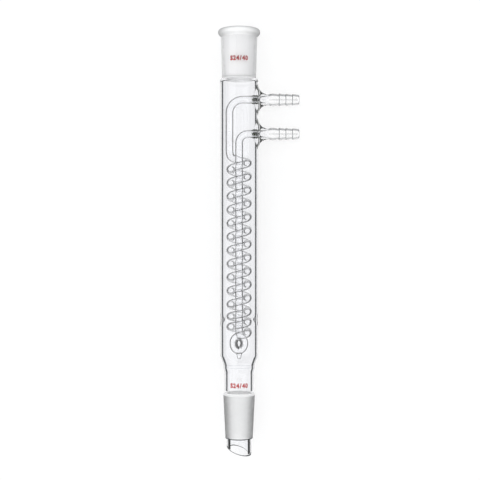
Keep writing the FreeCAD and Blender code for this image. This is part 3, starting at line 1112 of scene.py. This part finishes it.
@dataclass
class HoseConnector(Piece):
    """Serrated glass tube that a water hose is pushed onto."""

    plan: Plan
    node: str
    height: float
    reach: float = 45.39
    ridge_start: float = 25.2
    ridge_count: int = 4
    first_ridge_r: float = 4.9
    last_ridge_r: float = 4.3
    first_round: float = 1.6
    ridge_step: float = 0.6
    ridge_lean: float = 0.2
    ridge_round: float = 0.2
    nose_round: float = 0.53
    nose_trim: float = 0.01
    mouth_round: float = 0.04
    mouth_depth: float = 1.0
    bore_rows: int = 12

    def _turned(self, outline: np.ndarray, skin: Skin) -> Sheet:
        """The surface that an outline of (distance from the axis, radius) sweeps about the level line.

        A point at angle a lies at (x, r sin a, height + r cos a).

        Args:
            outline: array of shape (rows, 2).
            skin: its finish.

        Returns:
            The sheet, which looks outwards where the outline runs back towards the condenser.
        """
        angle = 2 * math.pi * np.arange(COLLAR_COLUMNS) / COLLAR_COLUMNS
        x, radius = outline[:, :1], outline[:, 1:]
        height = self.height + radius * np.cos(angle)
        return gridded(np.stack([x + 0 * angle, radius * np.sin(angle), height], axis=-1), skin)

    def sheets(self) -> list[Sheet]:
        """The connector's surfaces: its bore out to the nose, and its serrated outside back to the neck.

        Returns:
            The sheets.
        """
        plan = self.plan
        places = np.linspace(self.ridge_start, self.reach, self.ridge_count + 1)[1:-1]
        corners = [(plan.neck_end, plan.neck_r, 0), (self.ridge_start, self.first_ridge_r, self.first_round)]
        radii = np.linspace(self.first_ridge_r, self.last_ridge_r, self.ridge_count)[1:]
        for x, ridge_r in zip(places, radii):
            corners.append((x - self.ridge_lean, ridge_r - self.ridge_step, self.ridge_round))
            corners.append((x + self.ridge_lean, ridge_r, self.ridge_round))
        corners.append((self.reach, self.last_ridge_r - self.ridge_step - self.nose_trim, self.nose_round))
        corners.append((self.reach, plan.hose_bore_r, self.mouth_round))
        corners.append((self.reach - self.mouth_depth, plan.hose_bore_r, 0))
        outside = rounded(corners)[::-1]
        bore = np.linspace((plan.neck_end, plan.hose_bore_r), outside[0], self.bore_rows)
        return [self._turned(bore, Skin.HOSE_BORE), self._turned(outside, Skin.HOSE)]


@dataclass
class CoolingCoil(Piece):
    """The wound water tube: feed, right-hand helix, closing loop and straight return.

    Each loop pole is (across, forward, up) from the loop's middle, in halves of its width, in distances from
    the return to the front, and in halves of its height.
    """

    plan: Plan
    bore_r: float = 2.4
    coil_r: float = 6.6
    pitch: float = 10.2
    turns: float = 11
    foot_pitch: float = 7.9
    foot_turns: float = 2
    coil_drop: float = 62.6
    feed_offset: float = 7.3
    feed_elbow: float = 10.0
    feed_lead_in: float = 7.0
    feed_turn: float = 0.5
    feed_steps: int = 7
    return_elbow: float = 6.8
    return_steps: int = 29
    funnel_length: float = 2.6
    loop_width: float = 7.6
    loop_height: float = 10.0
    loop_drop: float = 8.3
    loop_poles: tuple[tuple[float, float, float], ...] = (
        (1.35, 1.10, 1.42), (0.10, 1.18, 1.28), (-1.02, 1.06, 0.86), (-1.15, 0.80, -0.28),
        (-0.60, 0.56, -1.06), (0.50, 0.34, -1.10), (1.15, 0.16, -0.28), (0.98, 0.02, 0.56),
        (0.16, 0, 1.02), (0, 0, 1.62), (0, 0, 2.20))
    front_gap: float = 0.4
    bead_end: float = 9.6
    bead_swell: float = 0.6
    bead_steps: int = 6
    loop_inside: float = 0.35
    turn_end: float = 0.86
    turn_inside: float = 0.48
    steps_per_turn: int = 48
    bend_steps: int = 16
    loop_steps: int = 72
    columns: int = 32
    bore_columns: int = 24
    node = "cooling_coil"

    def __post_init__(self) -> None:
        """Work out the helix's highest right-hand end, its foot, the loop's middle and the route."""
        self.coil_head = self.plan.jacket_head - self.coil_drop
        self.foot = self._helix(self.turns + self.foot_turns)
        self.loop_middle = np.array([0, 0, self.foot[2] - self.loop_drop])
        self.route = self._route()

    def _helix(self, turn: np.ndarray | float) -> np.ndarray:
        """Points of a right-hand helix: angle -2 pi t, falling by a pitch a turn, and less in its last turns.

        Args:
            turn: turns from the highest right-hand end.

        Returns:
            Array of shape (points, 3), or (3,) for a single turn.
        """
        wide = np.minimum(turn, self.turns)
        height = self.coil_head - self.pitch * wide - self.foot_pitch * (turn - wide)
        angle = -2 * math.pi * turn
        return np.stack([self.coil_r * np.cos(angle), self.coil_r * np.sin(angle), height], axis=-1)

    def _bend(self, corner_x: float, height: float, size: float) -> np.ndarray:
        """A quarter circle in the XZ plane from a level run down to a vertical one.

        Args:
            corner_x: where the vertical run stands.
            height: height of the level run.
            size: radius of the bend.

        Returns:
            Array of shape (points, 3).
        """
        lean = np.linspace(0, math.pi / 2, self.bend_steps + 1)
        x, z = corner_x + size * (1 - np.sin(lean)), height - size * (1 - np.cos(lean))
        return np.stack([x, 0 * x, z], axis=-1)

    def _lead_in(self) -> tuple[np.ndarray, float]:
        """The bend from the vertical feed into the first turn, a circular arc laid on the coil's cylinder.

        Returns:
            Its points, and the turn at which it ends.
        """
        bend, around = self.feed_lead_in, 2 * math.pi * self.coil_r
        slope = math.atan(self.pitch / around)
        run = bend * (1 - math.sin(slope))
        end_turn = run / around - self.feed_turn
        lean = np.linspace(math.pi / 2, slope, self.bend_steps + 1)
        along = bend * (1 - np.sin(lean))
        angle = 2 * math.pi * self.feed_turn - along / self.coil_r
        radius = self.feed_offset + (self.coil_r - self.feed_offset) * along / run
        height = self._helix(end_turn)[2] + bend * (math.cos(slope) - np.cos(lean))
        return np.stack([radius * np.cos(angle), radius * np.sin(angle), height], axis=-1), end_turn

    def _loop(self) -> np.ndarray:
        """The closing loop: across the front, down the left, round and up into the return.

        It is a cubic B-spline: each point is the sum of the poles, each times its basis function by the
        recursion of Cox and de Boor over even knots that repeat at both ends.

        Returns:
            Array of shape (points, 3).
        """
        front = 2 * self.plan.tube_r + self.front_gap
        onward = np.array([0, -1, -self.foot_pitch / (2 * math.pi * self.coil_r)])
        size = (self.loop_width / 2, -front, self.loop_height / 2)
        free = self.loop_middle + np.array(self.loop_poles) * size
        poles = np.concatenate([[self.foot, self.foot + onward * self.plan.tube_r], free])
        degree = 3
        spans = len(poles) - degree
        knots = np.concatenate([np.zeros(degree), np.arange(spans + 1), np.full(degree, spans)])
        place = np.minimum(np.linspace(0, spans, self.loop_steps + 1)[:, None], spans - 1e-9)
        basis = ((knots[:-1] <= place) & (place < knots[1:])).astype(float)
        for order in range(1, degree + 1):
            wide = knots[order:] - knots[:-order]
            safe = np.where(wide > 0, wide, np.inf)
            rise = (place - knots[:-order]) / safe
            fall = (knots[order:] - place) / safe
            basis = rise[:, :-1] * basis[:, :-1] + fall[:, 1:] * basis[:, 1:]
        return basis @ poles

    def _level_run(self, height: float) -> np.ndarray:
        """The level run behind a connector, from its neck past the funnel and the seal towards the axis.

        Args:
            height: the connector's height.

        Returns:
            Its points.
        """
        plan = self.plan
        bead = np.linspace(plan.seal_x, self.bead_end, self.bead_steps + 1)
        x = np.array([plan.neck_end, plan.neck_end - self.funnel_length, *bead])
        return np.stack([x, 0 * x, 0 * x + height], axis=-1)

    def _route(self) -> np.ndarray:
        """The water tube's middle from the upper connector's neck to the lower one's.

        Returns:
            Its points.
        """
        upper, lower = self.plan.upper, self.plan.lower
        elbow = self._bend(-self.feed_offset, upper, self.feed_elbow)
        lead_in, first = self._lead_in()
        drop = np.linspace(elbow[-1], lead_in[0], self.feed_steps + 1)[1:-1]
        last = self.turns + self.foot_turns
        helix = self._helix(np.linspace(first, last, round((last - first) * self.steps_per_turn) + 1)[1:-1])
        loop = self._loop()
        rise = self._bend(0, lower, self.return_elbow)[::-1]
        climb = np.linspace(loop[-1], rise[0], self.return_steps + 1)[1:-1]
        run_in, run_out = self._level_run(upper), self._level_run(lower)[::-1]
        return np.concatenate([run_in, elbow, drop, lead_in, helix, loop, climb, rise, run_out])

    @staticmethod
    def _directions(path: np.ndarray, tube: Sheet) -> tuple[np.ndarray, np.ndarray]:
        """Where each face of a tube lies.

        Args:
            path: the tube's middle line.
            tube: its surface.

        Returns:
            The point of the middle line beside each face, and the direction from it to the face.
        """
        columns = len(tube.points) // len(path)
        line = np.repeat((path[1:] + path[:-1]) / 2, columns, axis=0)
        return line, unit(tube.points[tube.faces].mean(axis=1) - line)

    def _faces_loop_middle(self, path: np.ndarray, tube: Sheet) -> np.ndarray:
        """Which faces of the tube lie on the inner side of the closing loop.

        They are those below the helix whose direction from the tube's middle line is turned to the loop's
        middle by a cosine of at least loop_inside.

        Args:
            path: the tube's middle line.
            tube: its surface.

        Returns:
            True for such a face.
        """
        line, outward = self._directions(path, tube)
        aim = (self.loop_middle - line) * (1, 0, 1)
        towards = np.sum(outward * aim, axis=1) / (np.linalg.norm(aim, axis=1) + WELD_DISTANCE)
        near = np.abs(line[:, 2] - self.loop_middle[2]) < self.loop_height / 2
        return near & (towards > self.loop_inside)

    def _faces_turn_inside(self, path: np.ndarray, bore: Sheet) -> np.ndarray:
        """Which faces of the bore lie on the axis's side at the left and right end of each turn.

        They are those on the helix whose middle line is beside the axis by a cosine of at least turn_end, and
        whose direction from that line is turned to the axis by a cosine of at least turn_inside.

        Args:
            path: the tube's middle line.
            bore: its inner surface.

        Returns:
            True for such a face.
        """
        line, outward = self._directions(path, bore)
        spoke = line * (1, 1, 0)
        reach = np.linalg.norm(spoke, axis=1)
        within = (line[:, 2] > self.foot[2]) & (line[:, 2] < self.coil_head + self.pitch / 4)
        wound = within & (np.abs(reach - self.coil_r) < self.bore_r / 4)
        beside = np.abs(line[:, 0]) > self.turn_end * self.coil_r
        towards = -np.sum(outward * spoke, axis=1) / (reach + WELD_DISTANCE)
        return wound & beside & (towards > self.turn_inside)

    def sheets(self) -> list[Sheet]:
        """The tube's outside between its two seals, each with its bead, and its bore from neck to neck.

        Returns:
            The sheets.
        """
        plan = self.plan
        inner = self.route[self.route[:, 0] <= plan.seal_x + WELD_DISTANCE]
        share = np.clip((inner[:, 0] - self.bead_end) / (plan.seal_x - self.bead_end), 0, 1)
        radius = plan.tube_r + self.bead_swell * np.sin(math.pi * share)
        outside = tube_along(inner, radius, self.columns, Skin.TUBE)
        # Faces on the inside of the closing loop get painted near-black shade, and the beads painted olive
        # shade lines.
        crest = self._faces_loop_middle(inner, outside)
        seals = at_ends(outside, self.bead_steps * self.columns)
        funnel = 1 - np.clip((plan.neck_end - self.route[:, 0]) / self.funnel_length, 0, 1)
        bore_r = self.bore_r + (plan.hose_bore_r - self.bore_r) * funnel
        bore = tube_along(self.route, bore_r, self.bore_columns, Skin.TUBE_BORE)
        bore.faces = bore.faces[:, ::-1]
        # Bore faces beside the axis at the turns' ends get painted near-black crescents of shade; the necks
        # get the connectors' painted shade.
        crescents, necks = self._faces_turn_inside(self.route, bore), at_ends(bore, 2 * self.bore_columns)
        bore, *inside = parted(bore, (crescents, Skin.LOOP_INSIDE), (necks, Skin.HOSE_BORE))
        return [*parted(outside, (crest, Skin.LOOP_INSIDE), (seals, Skin.SEAL_RING)), *inside, bore]


@dataclass
class DripNib(Piece):
    """Solid glass point under the loop."""

    coil: CoolingCoil
    length: float = 3.4
    tip_r: float = 1.3
    tip_round: float = 1.1
    waist_r: float = 1.84
    waist_drop: float = 0.5
    waist_round: float = 1.2
    head_r: float = 2.3
    sink: float = 0.55
    columns: int = 48
    node = "drip_nib"

    def sheets(self) -> list[Sheet]:
        """The nib's surface, turned about its own upright line.

        Returns:
            The sheets.
        """
        foot = self.coil.route[np.argmin(self.coil.route[:, 2])]
        under = foot[2] - self.coil.plan.tube_r
        nib = turned(rounded([
            (0, under - self.length, 0),
            (self.tip_r, under - self.length, self.tip_round),
            (self.waist_r, under - self.waist_drop, self.waist_round),
            (self.head_r, under + self.sink, 0),
            (0, under + self.sink, 0),
        ]), Skin.NIB, self.columns)
        nib.points[:, :2] += foot[:2]
        return [nib]


def coordinates(mesh: bpy.types.Mesh) -> np.ndarray:
    """Read a mesh's points.

    Args:
        mesh: the mesh.

    Returns:
        Array of shape (points, 3).
    """
    points = np.empty(len(mesh.vertices) * 3)
    mesh.vertices.foreach_get("co", points)
    return points.reshape(-1, 3)


@dataclass
class SizeMark:
    """A fired size mark on the viewer's side: the standard-taper sign and the joint's two numbers.

    The sign is an S and an upright stroke over each other. Each letter has its middle and its width in mm.
    """

    name: str
    height: float
    radius: float
    letter_height: float = 3.6
    lift: float = 0.03
    boldness: float = 0.048
    longest_edge: float = 0.6
    letters: tuple[tuple[str, float, float], ...] = (
        ("S", -5.85, 2.2), ("I", -5.85, 0.35), ("2", -3.5, 2.2), ("4", -1.05, 2.35),
        ("/", 1.15, 1.6), ("4", 3.4, 2.35), ("0", 5.8, 2.1))

    def _letter(self, text: str, middle: float, width: float) -> bpy.types.Mesh:
        """One letter as a flat mesh that fills its own box.

        Args:
            text: the letter.
            middle: place of its middle along the mark.
            width: its width.

        Returns:
            The mesh, in mm.
        """
        curve = bpy.data.curves.new(self.name + "_letter", "FONT")
        curve.body = text
        curve.resolution_u = 3
        curve.offset = self.boldness
        holder = placed(self.name + "_holder", curve)
        bpy.context.view_layer.update()
        mesh = bpy.data.meshes.new_from_object(holder.evaluated_get(bpy.context.evaluated_depsgraph_get()))
        bpy.data.objects.remove(holder)
        bpy.data.curves.remove(curve)
        points = coordinates(mesh)
        flat = points[:, :2]
        low, high = flat.min(axis=0), flat.max(axis=0)
        points[:, :2] = ((flat - low) / (high - low) - 0.5) * (width, self.letter_height) + (middle, 0)
        mesh.vertices.foreach_set("co", points.ravel())
        return mesh

    def build(self, shop: Shop) -> None:
        """Bend the mark round the glass and lay it just clear of the surface.

        A letter's place (u, v) goes to angle u / radius from the viewer's side and height v.

        Args:
            shop: where it is made.
        """
        work = bmesh.new()
        for letter in self.letters:
            mesh = self._letter(*letter)
            work.from_mesh(mesh)
            bpy.data.meshes.remove(mesh)
        long_edges = [edge for edge in work.edges if edge.calc_length() > self.longest_edge]
        bmesh.ops.subdivide_edges(work, edges=long_edges, cuts=3)
        bmesh.ops.triangulate(work, faces=work.faces)
        mesh = bpy.data.meshes.new(self.name)
        work.to_mesh(mesh)
        work.free()
        along, rise, _ = coordinates(mesh).T
        angle = along / self.radius - math.pi / 2
        reach = self.radius + self.lift
        bent = np.stack([reach * np.cos(angle), reach * np.sin(angle), self.height + rise], axis=-1)
        mesh.vertices.foreach_set("co", shop.bench.place(bent).ravel())
        mesh.materials.append(shop.finisher.material(Skin.INK))
        shop.show(self.name, mesh)


@dataclass
class Studio:
    """White floor, soft lamps, and the camera at the photograph's viewing angle. Sizes are in metres."""

    bench: Bench
    floor_half: float = 4.0
    floor_squares: int = 8
    floor_share: float = 0.72
    matt_white: Colour = (0.9, 0.9, 0.9)
    soft_grey: Colour = (0.74, 0.75, 0.76)
    white: Colour = (1.0, 1.0, 1.0)
    camera_distance: float = 0.795
    nearest: float = 0.01
    farthest: float = 50.0
    pixels_per_mm: float = 1.32
    axis_pixel_x: float = 239.1
    tip_pixel_y: float = 455.0
    sensor: float = 36.0
    lamp_side: float = 2.8
    bounces: int = 32
    glossy_bounces: int = 12
    transparent_bounces: int = 48

    def _floor(self) -> None:
        """A white floor. What the camera, a reflection or glass sees of it is mostly its own white."""
        mesh = bpy.data.meshes.new("floor")
        work = bmesh.new()
        squares = self.floor_squares
        bmesh.ops.create_grid(work, x_segments=squares, y_segments=squares, size=self.floor_half)
        work.to_mesh(mesh)
        work.free()
        material = bpy.data.materials.new("white_floor")
        material.use_nodes = True
        book = NodeBook(material.node_tree)
        path = book.add("ShaderNodeLightPath").outputs
        seen = book.math("MAXIMUM", path["Is Camera Ray"], path["Is Glossy Ray"])
        seen = book.math("MULTIPLY", seen, self.floor_share)
        share = book.math("MAXIMUM", seen, path["Is Transmission Ray"])
        matt = book.add("ShaderNodeBsdfDiffuse", Color=(*self.matt_white, 1.0))
        glow = book.add("ShaderNodeEmission", Color=(*self.white, 1.0), Strength=1.0)
        book.add("ShaderNodeOutputMaterial", book.mixed(share, matt.outputs[0], glow.outputs[0]))
        mesh.materials.append(material)
        placed("floor", mesh)

    def _world(self) -> None:
        """A room that is white to the camera, and a softer grey to reflections and to the light it gives."""
        world = bpy.data.worlds.new("room")
        bpy.context.scene.world = world
        world.use_nodes = True
        book = NodeBook(world.node_tree)
        path = book.add("ShaderNodeLightPath").outputs
        seen = book.math("MAXIMUM", path["Is Camera Ray"], path["Is Transmission Ray"])
        colour = book.blended(seen, self.soft_grey, self.white)
        back = book.add("ShaderNodeBackground", Color=colour, Strength=1.0)
        book.add("ShaderNodeOutputWorld", back.outputs[0])

    def _lamp(self, name: str, place: tuple[float, float, float], power: float) -> None:
        """A square soft lamp that faces the middle of the condenser.

        Args:
            name: its name.
            place: where it hangs.
            power: its power in watts.
        """
        light = bpy.data.lights.new(name, "AREA")
        light.size = self.lamp_side
        light.energy = power
        lamp = placed(name, light)
        lamp.location = place
        lamp.rotation_euler = (-lamp.location).to_track_quat("-Z", "Y").to_euler()

    def _camera(self) -> None:
        """A camera in front of the condenser, level with the middle of the picture."""
        bench = self.bench
        middle = PICTURE_SIDE / 2
        aim = np.array([middle - self.axis_pixel_x, 0.0, self.tip_pixel_y - middle]) / self.pixels_per_mm
        place = bench.place(aim) - bench.back * self.camera_distance
        data = bpy.data.cameras.new("camera")
        data.sensor_width = self.sensor
        data.lens = self.camera_distance / MM * self.pixels_per_mm * self.sensor / PICTURE_SIDE
        data.clip_start = self.nearest
        data.clip_end = self.farthest
        axes = np.eye(4)
        axes[:3] = np.column_stack([bench.side, bench.up, -bench.back, place])
        camera = placed("camera", data)
        camera.matrix_world = mathutils.Matrix(axes.tolist())
        bpy.context.scene.camera = camera

    def build(self) -> None:
        """Set up the whole studio."""
        self._floor()
        self._world()
        self._lamp("key_lamp", (-0.9, -0.6, 1.6), power=24)
        self._lamp("fill_lamp", (1.2, 0.5, 1.4), power=14)
        self._camera()
        scene = bpy.context.scene
        scene.view_settings.view_transform = "Standard"
        scene.cycles.max_bounces = scene.cycles.transmission_bounces = self.bounces
        scene.cycles.glossy_bounces = self.glossy_bounces
        scene.cycles.transparent_max_bounces = self.transparent_bounces
        LOG.info("studio: floor, two lamps and the camera")


def main() -> None:
    """Build the condenser piece by piece, then the studio round it."""
    logging.basicConfig(level=logging.INFO, format="%(name)s: %(message)s")
    plan = Plan()
    bench = Bench.from_record(frame["record"], plan.rim_head)
    shop = Shop(bench)
    Studio(bench).build()
    ConeJoint(plan).build(shop)
    JacketTube(plan).build(shop)
    SocketJoint(plan).build(shop)
    HoseConnector(plan, "upper_hose_connector", plan.upper).build(shop)
    HoseConnector(plan, "lower_hose_connector", plan.lower).build(shop)
    coil = CoolingCoil(plan)
    coil.build(shop)
    DripNib(coil).build(shop)
    SizeMark("socket_mark", height=298.8, radius=13.25).build(shop)
    SizeMark("stem_mark", height=53.9, radius=11.15).build(shop)


if __name__ == "__main__":
    main()
